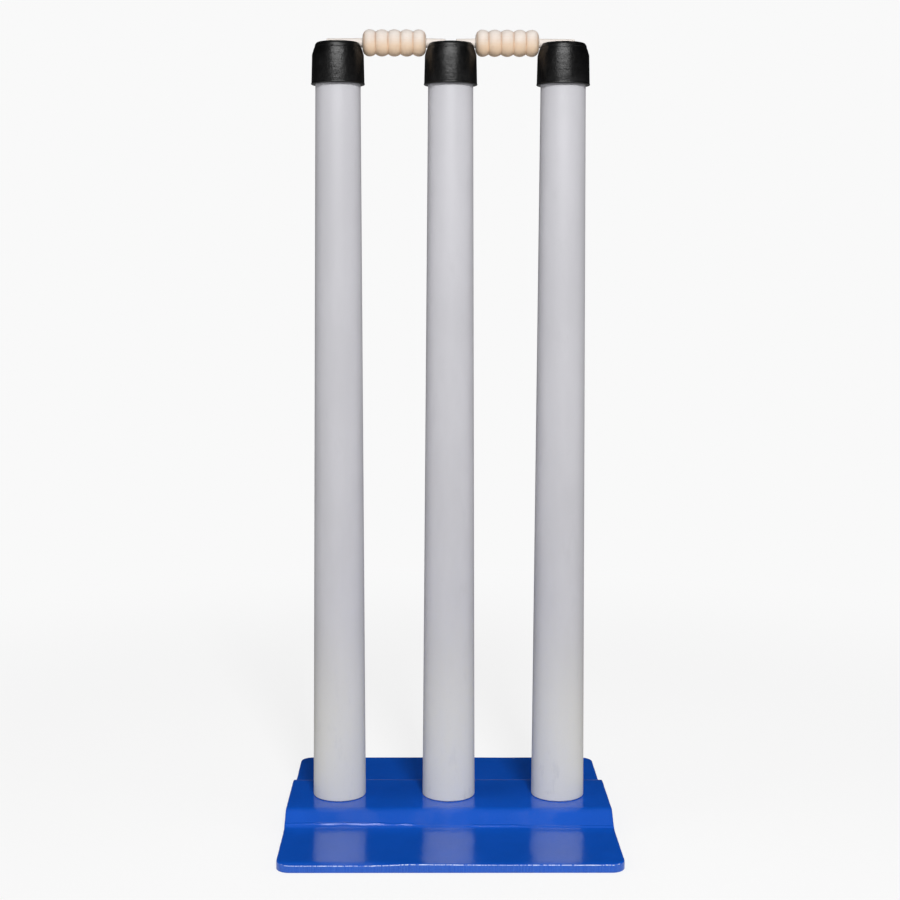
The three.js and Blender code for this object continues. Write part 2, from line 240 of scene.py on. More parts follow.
class Graph:
    """A node tree built by expressions, on the place on the piece or the direction of the ray."""

    def __init__(self, tree, coordinates):
        self.tree = tree
        self.tree.nodes.clear()
        self.place = self.node("ShaderNodeTexCoord", output=coordinates)

    def node(self, kind, settings=None, values=None, output=0):
        """A node of a kind: its settings first, then the values or links of its sockets."""
        made = self.tree.nodes.new(kind)
        for key, value in (settings or {}).items():
            setattr(made, key, value)
        for key, value in (values or {}).items():
            self.feed(made.inputs[key], value)
        return Value(self, made.outputs[output]) if made.outputs else None

    def feed(self, socket, value):
        """Links a value to a socket, or sets the socket to a number, a vector or a colour."""
        if isinstance(value, Value):
            self.tree.links.new(value.socket, socket)
        elif socket.type == "RGBA":
            socket.default_value = (*value, 1)
        else:
            socket.default_value = value

    def maths(self, operation, *values):
        return self.node("ShaderNodeMath", {"operation": operation}, dict(enumerate(values)))

    def span(self, first, second):
        """How far a point lies from an axis, from its distances along two directions."""
        return self.maths("SQRT", first * first + second * second)

    def step(self, value, low, high):
        """Rises smoothly from 0 at low to 1 at high."""
        values = {"Value": value, "From Min": low, "From Max": high}
        return self.node("ShaderNodeMapRange", {"interpolation_type": "SMOOTHSTEP"}, values)

    def speckle(self, cells, detail=2.0, roughness=0.5):
        """Noise from 0 to 1, at so many cells in a metre, or so many along each axis."""
        scale = cells if isinstance(cells, tuple) else (cells, cells, cells)
        spread = {0: self.place, 1: scale}
        values = {
            "Vector": self.node("ShaderNodeVectorMath", {"operation": "MULTIPLY"}, spread),
            "Scale": 1.0,
            "Detail": detail,
            "Roughness": roughness,
        }
        return self.node("ShaderNodeTexNoise", values=values, output="Fac")

    def spots(self, cells, low, high, detail=2.0, roughness=0.5):
        """The patches where that noise is strong: 0 below low and 1 above high."""
        return self.step(self.speckle(cells, detail, roughness), low, high)

    def blend(self, share, first, second):
        """The first colour, turning into the second as the share goes from 0 to 1."""
        values = {0: share, 6: first, 7: second}
        return self.node("ShaderNodeMix", {"data_type": "RGBA"}, values, output=2)

    def axis(self, name):
        """One coordinate of the place on the piece, in metres."""
        return self.node("ShaderNodeSeparateXYZ", values={"Vector": self.place}, output=name)

    def upward(self):
        """How far the surface faces up: 1 on top, 0 on a wall and -1 underneath."""
        facing = self.node("ShaderNodeNewGeometry", output="Normal")
        return self.node("ShaderNodeSeparateXYZ", values={"Vector": facing}, output="Z")

    def bump(self, height, distance, strength):
        values = {"Height": height, "Distance": distance, "Strength": strength}
        return self.node("ShaderNodeBump", values=values, output="Normal")

    def ray(self, kind):
        """1 for the rays of a kind, and 0 for others."""
        return self.node("ShaderNodeLightPath", output=f"Is {kind} Ray")

    def seen(self):
        """Masks of rays: those of the eye, also through glass, those of reflections, and both."""
        eye = self.maths("MAXIMUM", self.ray("Camera"), self.ray("Transmission"))
        glossy = self.ray("Glossy")
        return eye, glossy, self.maths("MAXIMUM", eye, glossy)


class Finish(Graph):
    """A material whose principled shader is fed by expressions on the place on the piece."""

    def __init__(self, name):
        self.material = bpy.data.materials.new(name)
        self.material.use_nodes = True
        super().__init__(self.material.node_tree, "Object")

    def principled(self, **values):
        """A principled shader, from its sockets, which are named with _ for a space."""
        sockets = {key.replace("_", " "): value for key, value in values.items()}
        return self.node("ShaderNodeBsdfPrincipled", values=sockets)

    def show(self, surface):
        """Makes a shader the surface of the material, and gives the material."""
        self.node("ShaderNodeOutputMaterial", values={"Surface": surface})
        return self.material

    def set(self, **values):
        """The material with one principled shader."""
        return self.show(self.principled(**values))


PAINT_DUST = linear(92, 130, 196)
SAWN_PAINT = linear(72, 124, 212)
# The painted highlight on the front edge: its colour, and how far back from the front it starts and
# ends.
EDGE_GLINT_PAINT = linear(206, 221, 248)
GLINT_START, GLINT_END = 0.0035, 0.002


def enamel(paint):
    """Thick gloss enamel, brushed over a hot rolled plate with sawn edges, with a painted highlight
    along its front edge.
    """
    finish = Finish("blue_enamel")
    cloud = finish.speckle(14, 3)
    fine = finish.speckle(900, 1)
    dust = finish.spots(2400, 0.72, 0.78, 0)
    deep, light = tinted(paint, 0.94), tinted(paint, 1.04, 0.001)
    base = finish.blend(finish.step(cloud, 0.3, 0.7), deep, light)
    base = finish.blend(dust * 0.2, base, PAINT_DUST)
    peel = finish.speckle(240, 1)
    swell = finish.speckle(60)
    drag = finish.speckle((8, 380, 60))
    strokes = finish.speckle((240, 10, 60))
    upward = finish.upward()
    sawn = 1 - finish.step(finish.maths("ABSOLUTE", upward), 0.3, 0.85)
    teeth = finish.spots((780, 780, 24), 0.3, 0.7)
    chips = finish.spots(620, 0.5, 0.72)
    base = finish.blend(sawn * teeth * 0.34, base, SAWN_PAINT)
    # Painted highlight: a broken pale line on the front edge's rounding, where that rounding faces
    # up and forwards.
    front = -PLATE_LOW.y
    edge = finish.step(finish.axis("Y") * -1, front - GLINT_START, front - GLINT_END)
    glint = edge * finish.step(upward, 0.22, 0.36) * (1 - finish.step(upward, 0.64, 0.78))
    broken = finish.spots((620, 90, 90), 0.36, 0.56, 3)
    patchy = finish.spots(26, 0.3, 0.5, 1)
    base = finish.blend(glint * broken * (0.3 + patchy * 0.5), base, EDGE_GLINT_PAINT)
    brushed = swell * 0.95 + peel * 0.2 + drag * 0.07 + strokes * 0.12
    height = brushed + sawn * (teeth * 0.35 + chips * 0.5)
    return finish.set(
        Base_Color=base,
        Roughness=0.1 + cloud * 0.05 + fine * 0.03 + sawn * 0.16,
        IOR=1.5,
        Normal=finish.bump(height, 0.00032, 0.8),
    )


def zinc(steel):
    """Bright zinc plate over turned steel, with warm and cool clouds."""
    finish = Finish("zinc_plate")
    cloud = finish.speckle(90, 4, 0.6)
    turning = finish.speckle((40, 40, 5200))
    warm, cool = (
        tuple(v * t for v, t in zip(steel, tint)) for tint in ((1, 0.97, 0.9), (0.86, 0.9, 0.95))
    )
    return finish.set(
        Base_Color=finish.blend(finish.step(cloud, 0.35, 0.65), warm, cool),
        Metallic=0.72,
        Roughness=0.28 + cloud * 0.16,
        Normal=finish.bump(turning, 0.00004, 0.6),
    )


def tube_plastic(plastic, pale):
    """Satin plastic with faint draw lines and handling marks, with painted light making it paler
    near its foot.
    """
    finish = Finish("stump_plastic")
    lines = finish.speckle((2300, 2300, 7))
    cloud = finish.speckle((32, 32, 9), 3)
    grit = finish.spots(1500, 0.66, 0.74, 1)
    rub = finish.spots((70, 70, 25), 0.56, 0.7, 5, 0.65)
    height = finish.axis("Z")
    foot, low = (
        1 - finish.step(height, TUBE_LOW.z, TUBE_LOW.z + reach) for reach in (0.05, 0.2)
    )
    scuff = tinted(plastic, 0.8)
    base = finish.blend(finish.step(cloud, 0.3, 0.7), tinted(plastic, 0.93), plastic)
    # Painted light: paler and warmer towards the foot.
    base = finish.blend(low * 0.9, base, pale)
    base = finish.blend(rub * 0.12 + foot * rub * 0.25, base, scuff)
    base = finish.blend(grit * 0.22, base, scuff)
    return finish.set(
        Base_Color=base,
        Roughness=0.4 + lines * 0.06 + rub * 0.1,
        IOR=1.46,
        Normal=finish.bump(lines * 0.7 + grit * 0.3, 0.00005, 0.7),
    )


def cap_rubber(rubber):
    """Moulded rubber with a soft sheen: mottled, shallowly dented, with rings from its mould."""
    finish = Finish("cap_rubber")
    mottle = finish.speckle(330, 4, 0.65)
    rings = finish.speckle((60, 60, 1500))
    bloom = finish.spots(70, 0.45, 0.75, 4, 0.6)
    dents = finish.speckle(170, 3)
    share = bloom * 0.4 + finish.step(mottle, 0.55, 0.8) * 0.3
    return finish.set(
        Base_Color=finish.blend(share, rubber, tinted(rubber, 2, 0.002)),
        Roughness=0.25 + mottle * 0.16 + bloom * 0.1,
        IOR=1.42,
        Normal=finish.bump(mottle * 0.6 + rings * 0.3 + dents * 1.2, 0.00034, 0.8),
    )


def bush_moulding(plastic):
    """Plain moulded plastic with a fine spark texture."""
    finish = Finish("bush_moulding")
    spark = finish.speckle(1400)
    return finish.set(
        Base_Color=finish.blend(finish.speckle(60) * 0.5, plastic, tinted(plastic, 1.5)),
        Roughness=0.5 + spark * 0.15,
        Normal=finish.bump(spark, 0.00006, 0.6),
    )


PITH_Y, PITH_Z = -0.013, -0.021
# Painted shade for the creases between the beads, and painted light for the faces that turn down.
CREASE_SHADE_WOOD = linear(190, 142, 102)
UNDERSIDE_LIGHT_WOOD = linear(255, 222, 186)


def bail_wood(settings):
    """Pale turned hardwood: rings cut by the beads, pores along the grain, painted shade in the
    creases, painted light on top and underneath, and paler spigots.
    """
    finish = Finish("bail_wood")
    spigot, valley, crest = settings.spigot_diameter / 2, settings.valley_diameter / 2, BAIL_RADIUS
    y, z = finish.axis("Y"), finish.axis("Z") - BAIL_HEIGHT
    warp = finish.speckle((20, 110, 110), 3)
    waves = finish.maths("SINE", finish.span(y - PITH_Y, z - PITH_Z) * 2600 + warp * 24)
    rings = finish.step(waves, -0.2, 1.0)
    pores = finish.spots((240, 2600, 2600), 0.58, 0.72)
    cloud = finish.speckle((40, 150, 150), 3)
    fine = finish.speckle(1500)
    radius = finish.span(y, z)
    crease_shade = 1 - finish.step(radius, valley, valley + (crest - valley) * 0.5)
    crease = crease_shade * finish.step(radius, valley * 0.9, valley * 0.97)
    share = rings * 0.1 + finish.step(cloud, 0.3, 0.75) * 0.3 + pores * 0.25 + fine * 0.12
    share = finish.node("ShaderNodeClamp", values={"Value": share})
    base = finish.blend(share, settings.wood, settings.grain)
    # Painted shade: the creases between the beads are darkened.
    base = finish.blend(crease * 0.65, base, CREASE_SHADE_WOOD)
    upward = finish.upward()
    # Painted light: faces turned down are made brighter and warmer, standing in for light from
    # below.
    base = finish.blend((1 - finish.step(upward, -0.8, 0.4)) * 0.9, base, UNDERSIDE_LIGHT_WOOD)
    slim = 1 - finish.step(radius, spigot * 1.02, spigot * 1.12)
    crested = finish.step(radius, valley, crest)
    # Painted light: upper faces, most on the crests, blend towards a pale colour; the spigots are
    # paler all round.
    top_light = finish.step(upward, -0.35, 0.9) * (0.5 + crested * 0.35)
    pale = finish.maths("MAXIMUM", top_light, slim * 0.95)
    base = finish.blend(pale * (1 - pores * 0.3), base, settings.top_light_and_pale_spigots)
    return finish.set(
        Base_Color=base,
        Roughness=0.5 + cloud * 0.12,
        IOR=1.45,
        Normal=finish.bump(pores * -0.5 + fine * 0.4 + rings * 0.15, 0.00009, 0.6),
    )


def rounded(points, steps=4):
    """The points (x, y, radius) of an outline, each made an arc of its radius but for the ends."""
    out = [points[0][:2]]
    for before, corner, after in zip(points, points[1:], points[2:]):
        here, radius = Vector(corner[:2]), corner[2]
        arriving = (here - Vector(before[:2])).normalized()
        leaving = (Vector(after[:2]) - here).normalized()
        cross = arriving.x * leaving.y - arriving.y * leaving.x
        turn = math.atan2(cross, arriving.dot(leaving))
        if radius == 0 or abs(turn) < 1e-6:
            out.append(corner[:2])
            continue
        start = here - arriving * radius * math.tan(abs(turn) / 2)
        centre = start + Vector((-arriving.y, arriving.x)) * radius * math.copysign(1, turn)
        spoke = start - centre
        across = Vector((-spoke.y, spoke.x))
        for i in range(steps + 1):
            swing = turn * i / steps
            out.append(tuple(centre + spoke * math.cos(swing) + across * math.sin(swing)))
    out.append(points[-1][:2])
    return out


def ring_profile(points, steps):
    """A closed profile of (radius, height, rounding) points, rounded at each one."""
    middle = tuple((a + b) / 2 for a, b in zip(points[0][:2], points[-1][:2]))
    return rounded([(*middle, 0), *points, (*middle, 0)], steps)


SMOOTH_ANGLE = 32


def smooth(mesh, degrees=SMOOTH_ANGLE):
    """Smooth shading, but for the edges that turn by more than this."""
    mesh.shade_smooth()
    mesh.set_sharp_from_angle(angle=math.radians(degrees))
    return mesh


def mesh_of(name, verts, faces, degrees=SMOOTH_ANGLE):
    """A closed mesh, with vertices that meet joined and its faces turned outwards."""
    mesh = bpy.data.meshes.new(name)
    mesh.from_pydata([tuple(v) for v in verts], [], faces)
    shell = bmesh.new()
    shell.from_mesh(mesh)
    bmesh.ops.remove_doubles(shell, verts=shell.verts, dist=1e-7)
    bmesh.ops.recalc_face_normals(shell, faces=shell.faces)
    shell.to_mesh(mesh)
    shell.free()
    return smooth(mesh, degrees)


def lay(verts, points):
    """Adds points to the vertices, and gives their numbers."""
    start = len(verts)
    verts.extend(points)
    return list(range(start, len(verts)))


def skin(rings, closed=True):
    """Faces between successive rings of vertex numbers, where a ring of one number is a tip."""
    faces = []
    for near, far in zip(rings, rings[1:]):
        count = max(len(near), len(far))
        for k in range(count if closed else count - 1):
            corners = [near[k % len(near)], near[(k + 1) % len(near)]]
            corners += [far[(k + 1) % len(far)], far[k % len(far)]]
            face = list(dict.fromkeys(corners))
            if len(face) > 2:
                faces.append(face)
    return faces


def lofted(name, sections, degrees=SMOOTH_ANGLE, capped=False):
    """A mesh through closed sections of as many points each, with its ends closed if capped."""
    verts = []
    rings = [lay(verts, section) for section in sections]
    ends = [rings[0], rings[-1][::-1]] if capped else []
    return mesh_of(name, verts, skin(rings) + ends, degrees)


def spokes(sides):
    """The angles of points that are evenly spaced round a circle."""
    return [2 * math.pi * k / sides for k in range(sides)]


def turned(name, profile, sides, x=0.0):
    """A profile of (radius, height), closed or with its ends on the vertical axis, turned."""
    sections = []
    for radius, height in profile:
        swings = spokes(sides) if radius > 1e-9 else [0.0]
        sections.append(
            [(x + radius * math.cos(a), radius * math.sin(a), height) for a in swings]
        )
    return lofted(name, sections)


def along_row(mesh, x):
    """Moves a mesh along the row of stumps."""
    mesh.transform(Matrix.Translation((x, 0, 0)))
    return mesh


def placed(name, data):
    """A new object in the scene."""
    made = bpy.data.objects.new(name, data)
    bpy.context.scene.collection.objects.link(made)
    return made


def combine(mesh, tools, operation):
    """The mesh cut by, or joined with, the tool meshes."""
    body = placed("combining", mesh)
    helpers = [placed("combining_tool", tool) for tool in tools]
    for helper in helpers:
        change = body.modifiers.new("combine", "BOOLEAN")
        change.operation = operation
        change.solver = "EXACT"
        change.object = helper
    bpy.context.view_layer.update()
    graph = bpy.context.evaluated_depsgraph_get()
    made = bpy.data.meshes.new_from_object(body.evaluated_get(graph))
    for helper in (body, *helpers):
        bpy.data.objects.remove(helper)
    if not made.polygons:
        raise RuntimeError(f"nothing was left of {mesh.name}")
    return smooth(made)


def add_piece(name, mesh, finish, body, slot, *nodes):
    """Puts a mesh in the scene as a piece that rides on a body and stands for CAD nodes."""
    mesh.name = name
    mesh.materials.clear()
    mesh.materials.append(finish)
    piece = placed(name, mesh)
    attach(piece, body)
    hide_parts(*nodes)
    return piece


def add_to_stumps(piece, node, slot, finish, build):
    """Adds a piece to each stump, with a mesh that is built for its place along the row."""
    for side, x in STUMP_X.items():
        add_piece(f"{piece}_{side}", build(x), finish, f"stump_{side}", slot, f"{node}_{side}")


def noise_at(x, y, z):
    return noise.noise(Vector((x, y, z)))


BEND_STEPS = 8
CORNER_STEPS = 10
EDGE_STEPS = 5
PLATE_COLUMNS = 240
PLATE_ROW = 0.004
FRONT_ROW = 0.0008
BEAD_ROW = 0.00025
BEAD_STRAY = 0.0012
DRILL_SIDES = 48
DRILL_OVERRUN = 0.002
PLATE_SMOOTH = 50

# Places along X, with how far back the bead of paint lies and how high it stands, as shares.
BEAD_STATIONS = (
    (-0.15, 0.92, 0.5),
    (-0.125, 0.95, 0.6),
    (-0.108, 0.98, 1.0),
    (-0.064, 1.02, 1.0),
    (-0.056, 0.8, 0.72),
    (-0.03, 0.62, 0.66),
    (-0.018, 0.55, 0.2),
    (0.012, 0.45, 0.3),
    (0.022, 0.42, 0.95),
    (0.056, 0.36, 0.9),
    (0.07, 0.3, 0.4),
    (0.15, 0.2, 0.55),
)

# Places along X, with how far the worn front edge droops there.
DROOP_STATIONS = (
    (-0.15, 0.001),
    (-0.125, 0.0014),
    (-0.07, 0.0012),
    (-0.052, 0.0007),
    (-0.036, 0.0),
    (-0.01, 0.0),
    (0.05, 0.0004),
    (0.15, 0.0005),
)


def between(stations, x):
    """The values at x along stations of (x, value, ...), which are joined by straight lines."""
    for (start, *before), (end, *after) in zip(stations, stations[1:]):
        if x <= end:
            share = min(1.0, max(0.0, (x - start) / (end - start)))
            return [a + (b - a) * share for a, b in zip(before, after)]
    return stations[-1][1:]


def spaced(low, high, step):
    """Values from low to high, both left out, about a step apart."""
    count = max(1, round((high - low) / step))
    return [low + (high - low) * i / count for i in range(1, count)]


def fading(distance, reach):
    """1 at no distance, and fading to nothing as it passes the reach."""
    return math.exp(-((distance / reach) ** 2))


def slope_foot(settings):
    """Where the front slope meets its flange, between the sharp bends."""
    return -settings.plateau_depth / 2 - settings.ramp_depth


def plate_path(settings):
    """Stations (y, z, tangent angle) of the plate's top, close together in its bends."""
    edge = settings.plateau_depth / 2
    foot = edge + settings.ramp_depth
    top = PLATE_HIGH.z
    flange = settings.thickness
    turn = math.atan2(top - flange, settings.ramp_depth)
    inner, outer = settings.bend_radius, settings.bend_radius + settings.thickness
    corners = (
        (-foot, flange, inner, turn),
        (-edge, top, outer, -turn),
        (edge, top, outer, -turn),
        (foot, flange, inner, turn),
    )
    stations = []
    angle = 0.0
    for y, z, radius, bend in corners:
        reach = radius * math.tan(abs(bend) / 2)
        start = Vector((y, z)) - Vector((math.cos(angle), math.sin(angle))) * reach
        side = math.copysign(1, bend)
        centre = start + Vector((-math.sin(angle), math.cos(angle))) * radius * side
        for i in range(BEND_STEPS + 1):
            here = angle + bend * i / BEND_STEPS
            point = centre - Vector((-math.sin(here), math.cos(here))) * radius * side
            stations.append((point.x, point.y, here))
        angle += bend
    return stations


def plate_rows(settings):
    """Rows (y, z, tangent angle, half width, outward angle) of the top, mirrored to the rear."""
    wide = PLATE_HIGH.x - settings.edge_radius
    corner = settings.corner_radius - settings.edge_radius
    knee = PLATE_HIGH.y - settings.edge_radius - corner
    flange = settings.thickness
    rows = []
    for i in range(CORNER_STEPS + 1):
        swing = math.pi / 2 * (1 - i / CORNER_STEPS)
        width = wide - corner * (1 - math.cos(swing))
        rows.append((-knee - corner * math.sin(swing), flange, 0.0, width, -swing))
    bends = plate_path(settings)
    bead_start = bends[0][0]
    bead_end = slope_foot(settings) + settings.bead_rise + settings.bead_reach * 3
    rows += [(y, flange, 0.0, wide, 0.0) for y in spaced(-knee, bead_start, PLATE_ROW)]
    for here, after in zip(bends, bends[1:]):
        rows.append((*here, wide, 0.0))
        if bead_start <= here[0] < bead_end:
            step = BEAD_ROW
        elif here[1] < PLATE_HIGH.z and here[0] < 0:
            step = FRONT_ROW
        else:
            step = PLATE_ROW
        for t in spaced(0, 1, step / (after[0] - here[0])):
            rows.append((*(a + (b - a) * t for a, b in zip(here, after)), wide, 0.0))
    front = [row for row in rows if row[0] < 0]
    rear = [(-y, z, -lean, width, -swing) for y, z, lean, width, swing in reversed(front)]
    return front + rear


def plate_mesh(settings):
    """The bent plate: a top and an under face joined by a rounded, slightly uneven edge."""
    rows = plate_rows(settings)
    slope = settings.plateau_depth / 2 + settings.ramp_depth / 2
    radius, under_radius = settings.edge_radius, settings.under_radius

    def wander(x, y):
        near = fading(abs(y) - slope, settings.ramp_depth * 0.75)
        side = math.copysign(1, y)
        stray = noise_at(x * 22, side * 3.1, 0.4) + 0.5 * noise_at(x * 61, side * 7.7, 1.9)
        return settings.bend_wander * near * stray

    def swell(x, y):
        droop = between(DROOP_STATIONS, x)[0] * fading(y - PLATE_LOW.y, settings.droop_reach)
        return settings.sheet_wander * (noise_at(x * 26, y * 26, 5.2) - 1) - droop

    def bead(x, y):
        rise, strength = between(BEAD_STATIONS, x)
        line = slope_foot(settings) + settings.bead_rise * rise
        line += BEAD_STRAY * noise_at(x * 40, 3.3, 0.7)
        height = settings.bead_height * strength * (0.9 + 0.3 * noise_at(x * 90, 6.1, 0.2))
        return height * fading(y - line, settings.bead_reach)

    def face_point(row, column, under):
        y, z, lean, width = row[:4]
        x = width * (2 * column / PLATE_COLUMNS - 1)
        down = settings.thickness if under else 0.0
        y += wander(x, y) + math.sin(lean) * down
        z += -math.cos(lean) * down + (0 if under else swell(x, y) + bead(x, y))
        return Vector((x, y, z))

    verts = []

    def edge_ring(high, low, swing):
        head, tail = verts[high], verts[low]
        down = (tail - head).normalized()
        out = Vector((math.cos(swing), math.sin(swing), 0))
        rough = noise_at(head.x * 150, head.y * 150, 2.7)
        rough += 0.7 * noise_at(head.x * 420, head.y * 420, 8.1)
        bite = settings.edge_wander * (0.5 + 0.5 * rough)
        upper, lower = [], []
        for i in range(1, EDGE_STEPS + 1):
            lean = math.pi / 2 * i / EDGE_STEPS
            worn = bite * i / EDGE_STEPS
            fall = down * radius * (1 - math.cos(lean)) * (1 + 0.4 * rough)
            upper.append(head + out * (radius * math.sin(lean) - worn) + fall)
            reach = radius - under_radius * (1 - math.sin(lean)) - worn
            lower.append(tail + out * reach - down * under_radius * (1 - math.cos(lean)))
        return [high, *lay(verts, upper + lower[::-1]), low]

    top, under = (
        [lay(verts, [face_point(row, i, below) for i in range(PLATE_COLUMNS + 1)]) for row in rows]
        for below in (False, True)
    )
    last = len(rows) - 1
    loop = [(top[0][i], under[0][i], -math.pi / 2) for i in range(PLATE_COLUMNS)]
    loop += [(top[j][-1], under[j][-1], rows[j][4]) for j in range(last)]
    loop += [(top[-1][i], under[-1][i], math.pi / 2) for i in range(PLATE_COLUMNS, 0, -1)]
    loop += [(top[j][0], under[j][0], math.pi - rows[j][4]) for j in range(last, 0, -1)]
    rings = [edge_ring(*place) for place in loop]
    faces = skin(top, closed=False)
    faces += [face[::-1] for face in skin(under, closed=False)]
    faces += skin(rings + rings[:1], closed=False)
    return mesh_of("painted_base", verts, faces, PLATE_SMOOTH)


HEAD_SIDES = 96
HEAD_CHAMFER = 0.14
HEAD_FACE = 0.84
HEAD_LIFT = 0.55
WIRE_BEVEL = 0.12
SPLIT_SLANT = 0.8
SHANK_SIDES = 24
SHANK_INSET = 0.001
THREAD_DEPTH = 0.55
THREAD_ROWS = 8
THREAD_RUN_OUT = 1.5
WASHER_SIDES = 72
PEG_SIDES = 96
PEG_HOLE_DEPTH = 0.024


def hexagon_head(across_flats, low, high, chamfer):
    """A hexagon head with its face chamfered round."""
    flat = across_flats / 2
    corner = flat / math.cos(math.pi / 6)
    rim = low + chamfer
    sections = []
    for height, share in ((low, 0.0), (low, HEAD_FACE), (rim, 1.0), (high, 1.0), (high, 0.0)):
        section = []
        for swing in spokes(HEAD_SIDES):
            fold = (swing + math.pi / 6) % (math.pi / 3) - math.pi / 6
            radius = min(flat / math.cos(fold), corner * share)
            lift = max(0.0, (radius - flat) * HEAD_LIFT) if height == rim else 0.0
            section.append((radius * math.sin(swing), radius * math.cos(swing), height + lift))
        sections.append(section)
    return lofted("hex_head", sections, 20)


def threaded_shank(radius, pitch, low, high):
    """A shank with a helical thread that runs out at its tip."""
    depth = pitch * THREAD_DEPTH
    rows = round((high - low) / pitch * THREAD_ROWS)
    sections = [[(0, 0, low)]]
    for j in range(rows + 1):
        height = low + (high - low) * j / rows
        fade = min(1.0, (high - height) / (pitch * THREAD_RUN_OUT))
        section = []
        for k, swing in enumerate(spokes(SHANK_SIDES)):
            crest = 1 - abs((height / pitch - k / SHANK_SIDES) % 1.0 * 2 - 1)
            reach = radius - depth * (1 - crest * fade)
            section.append((reach * math.cos(swing), reach * math.sin(swing), height))
        sections.append(section)
    return lofted("bolt_shank", [*sections, [(0, 0, high)]], 60)


def peg_mesh(settings, x):
    """The turned peg, with a rounded head and a tapped hole in its foot."""
    low, high = PEG_LOW.z, PEG_HIGH.z
    hole = settings.peg_hole / 2
    end = low + PEG_HOLE_DEPTH
    outline = (
        (0.0, end + hole * 0.6, 0),
        (hole, end, 0),
        (hole, low, 0.0005),
        (PEG_RADIUS, low, 0.0006),
        (PEG_RADIUS, high, settings.peg_lead_in * 0.95),
        (0.0, high, 0),
    )
    return turned("turned_peg", rounded(outline, 8), PEG_SIDES, x)


def bolt_mesh(settings, x):
    """The peg's bolt, head down, with its thread reaching up into the peg."""
    low, height = BOLT_LOW.z, settings.head_height
    face = low + height
    head = hexagon_head(BOLT_HIGH.x - BOLT_LOW.x, low, face, height * HEAD_CHAMFER)
    pitch = settings.thread_pitch
    shank = threaded_shank(settings.shank / 2, pitch, face - SHANK_INSET, BOLT_HIGH.z)
    return along_row(combine(head, [shank], "UNION"), x)


def spring_washer_mesh(settings, x):
    """A ring of square wire with slanted ends at its split."""
    inner, outer = settings.washer_hole / 2, (SPRING_HIGH.y - SPRING_LOW.y) / 2
    low, high = SPRING_LOW.z, SPRING_HIGH.z
    bevel = (high - low) * WIRE_BEVEL
    outline = ((inner, low, bevel), (outer, low, bevel), (outer, high, bevel), (inner, high, bevel))
    gap = settings.split / inner
    sections = []
    for j in range(WASHER_SIDES + 1):
        section = []
        for radius, height in ring_profile(outline, 2)[:-1]:
            lean = gap * SPLIT_SLANT * ((height - low) / (high - low) - 0.5)
            swing = gap / 2 + (2 * math.pi - gap) * j / WASHER_SIDES + lean
            section.append((radius * math.cos(swing), radius * math.sin(swing), height))
        sections.append(section)
    return along_row(lofted("split_washer", sections, 30, capped=True), x)


def plain_washer_mesh(settings, x):
    """A punched washer, rounder at the edge that its punch came through."""
    inner, outer = settings.washer_hole / 2, (PLAIN_HIGH.x - PLAIN_LOW.x) / 2
    low, high = PLAIN_LOW.z, PLAIN_HIGH.z
    outline = (
        (inner, low, 0.0002), (outer, low, 0.0004), (outer, high, 0.0002), (inner, high, 0.0002)
    )
    return turned("flat_washer", ring_profile(outline, 3), WASHER_SIDES, x)


TUBE_SIDES = 160
TUBE_EDGE = 0.0005
CAP_SIDES = 144
CAP_FIT = 0.0003
LEAN_SHARES = (0.33, 0.67, 0.78, 0.86, 0.93)
CROWN_SHARES = (0.8, 0.5, 0.25)
CROWN_STEPS = 14
CREASE_REACH = 0.0006
GROOVE_STATIONS = 60
GROOVE_OVERRUN = 0.004
GROOVE_EXIT = 0.0018
GROOVE_EXIT_FALL = 0.0006
GROOVE_LEAST_WALL = 0.0012
GROOVE_CORNER = 0.2
FLARE_STEPS = 4
FLARE_ANGLE = math.radians(72)
FLARE_OUT, FLARE_UP = 1.2, 1.12


def tube_radius(height):
    """Outside radius of the tapered tube at a height."""
    share = (height - TUBE_LOW.z) / (TUBE_HIGH.z - TUBE_LOW.z)
    return TUBE_FOOT_RADIUS + (TUBE_TOP_RADIUS - TUBE_FOOT_RADIUS) * share


def tube_profile(settings):
    """The tube's wall, with its foot rounded."""
    low, high = TUBE_LOW.z, TUBE_HIGH.z
    outline = (
        (tube_radius(low) - settings.wall, low, TUBE_EDGE),
        (tube_radius(low), low, settings.foot_radius),
        (tube_radius(high), high, TUBE_EDGE),
        (tube_radius(high) - settings.wall, high, TUBE_EDGE),
    )
    return ring_profile(outline, 5)


def cap_surface(settings):
    """The outside of the cap (radius, height), from its lean over its crown to the axis."""
    top = CAP_HIGH.z
    shoulder = Vector((settings.shoulder_diameter / 2, top - settings.shoulder_drop))
    foot = Vector((shoulder.x - settings.shoulder_lean, top - settings.crown_drop))
    rim = Vector((foot.x - settings.crown_reach, top))
    pull = Vector((foot.x - settings.crown_reach / 4, top))
    points = [shoulder] + [shoulder.lerp(foot, t) for t in LEAN_SHARES]
    for i in range(CROWN_STEPS + 1):
        t = i / CROWN_STEPS
        points.append(foot * (1 - t) ** 2 + pull * 2 * t * (1 - t) + rim * t * t)
    surface = []
    for radius, height in points:
        crease = fading(top - height - settings.crease_drop, CREASE_REACH)
        surface.append((radius - settings.crease_depth * crease, height))
    return surface + [(rim.x * share, top) for share in CROWN_SHARES] + [(0.0, top)]


def cap_height_at(settings, radius):
    """Height of the cap's outside at this distance from its axis."""
    surface = cap_surface(settings)
    for (outer, low), (inner, high) in zip(surface, surface[1:]):
        if inner <= radius <= outer:
            return high + (low - high) * (radius - inner) / max(outer - inner, 1e-9)
    return surface[0][1]


